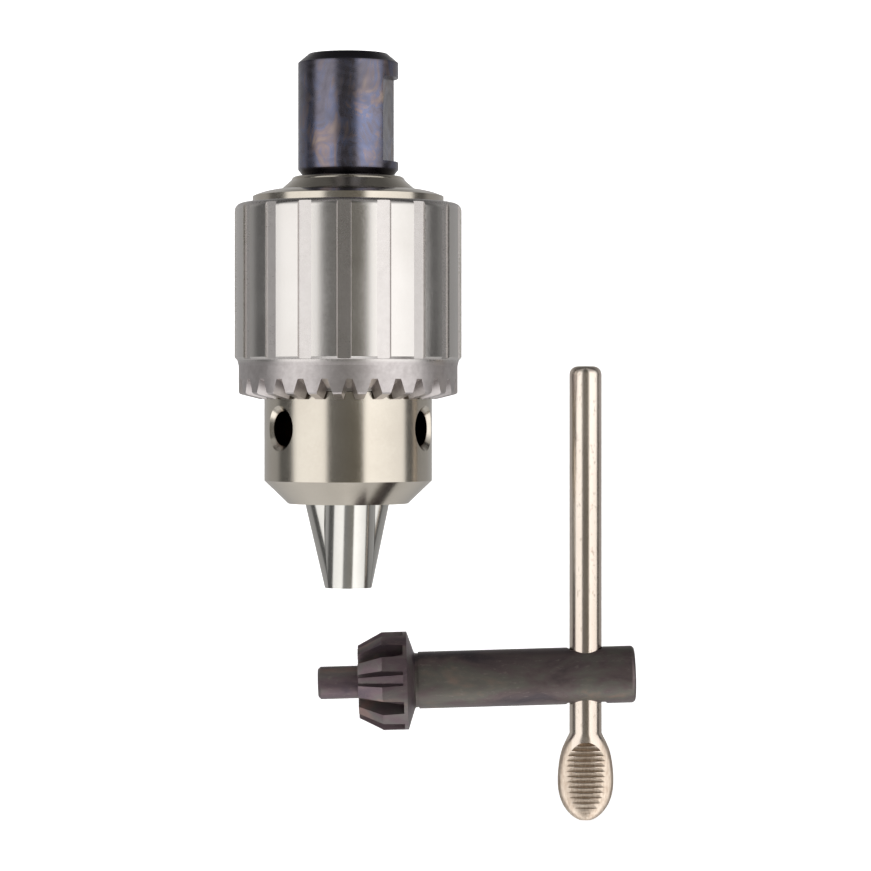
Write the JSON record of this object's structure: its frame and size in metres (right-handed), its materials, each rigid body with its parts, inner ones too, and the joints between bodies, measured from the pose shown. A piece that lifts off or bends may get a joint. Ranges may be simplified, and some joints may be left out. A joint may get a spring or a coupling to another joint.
{
  "type": "drill chuck",
  "caption": "Three-jaw keyed drill chuck on a straight shank with one set-screw flat, with its bevel-toothed key lying apart below the nose.",
  "frame": {"origin": "on the spindle axis, at the middle of the shank's set-screw flat", "axes": "+Z along the spindle axis, out of the shank's end; -Y is the front, and the key lies along X below the nose"},
  "size_m": [0.0762, 0.043, 0.1456],
  "materials": {
    "body_steel": "satin",
    "sleeve_steel": "satin",
    "nut_steel": "satin",
    "jaw_steel": "satin",
    "shank_oxide": "satin",
    "key_oxide": "satin",
    "bar_nickel": "bright"
  },
  "bodies": {
    "chuck_body": {"chuck_body": "body_steel", "weldon_shank": "shank_oxide"},
    "sleeve": {"sleeve": "sleeve_steel", "nut_half_1": "nut_steel", "nut_half_2": "nut_steel"},
    "jaw_1": {"jaw_1": "jaw_steel"},
    "jaw_2": {"jaw_2": "jaw_steel"},
    "jaw_3": {"jaw_3": "jaw_steel"},
    "key": {"key_shaft": "key_oxide", "key_bar": "bar_nickel"}
  },
  "joints": [
    {"name": "sleeve_turn", "type": "hinge", "parent": "chuck_body", "child": "sleeve", "pos_m": [0, 0, -0.0308], "axis": [0, 0, -1], "range_deg": [0, 3240]},
    {"name": "jaw_1_slide", "type": "slide", "parent": "chuck_body", "child": "jaw_1", "axis": [0.0314, -0.2484, 0.9681], "range_m": [0, 0.0186]},
    {"name": "jaw_2_slide", "type": "slide", "parent": "chuck_body", "child": "jaw_2", "axis": [0.1994, 0.1514, 0.9681], "range_m": [0, 0.0186]},
    {"name": "jaw_3_slide", "type": "slide", "parent": "chuck_body", "child": "jaw_3", "axis": [-0.2308, 0.097, 0.9681], "range_m": [0, 0.0186]},
    {"name": "key_spin", "type": "hinge", "parent": "chuck_body", "child": "key", "pos_m": [0.02, 0, -0.10622], "axis": [0.9996, 0, 0.0288], "continuous": true}
  ],
  "couplings": [
    {"joint": "jaw_1_slide", "follows": "sleeve_turn", "m_per_rad": 0.00032878},
    {"joint": "jaw_2_slide", "follows": "sleeve_turn", "m_per_rad": 0.00032878},
    {"joint": "jaw_3_slide", "follows": "sleeve_turn", "m_per_rad": 0.00032878}
  ]
}
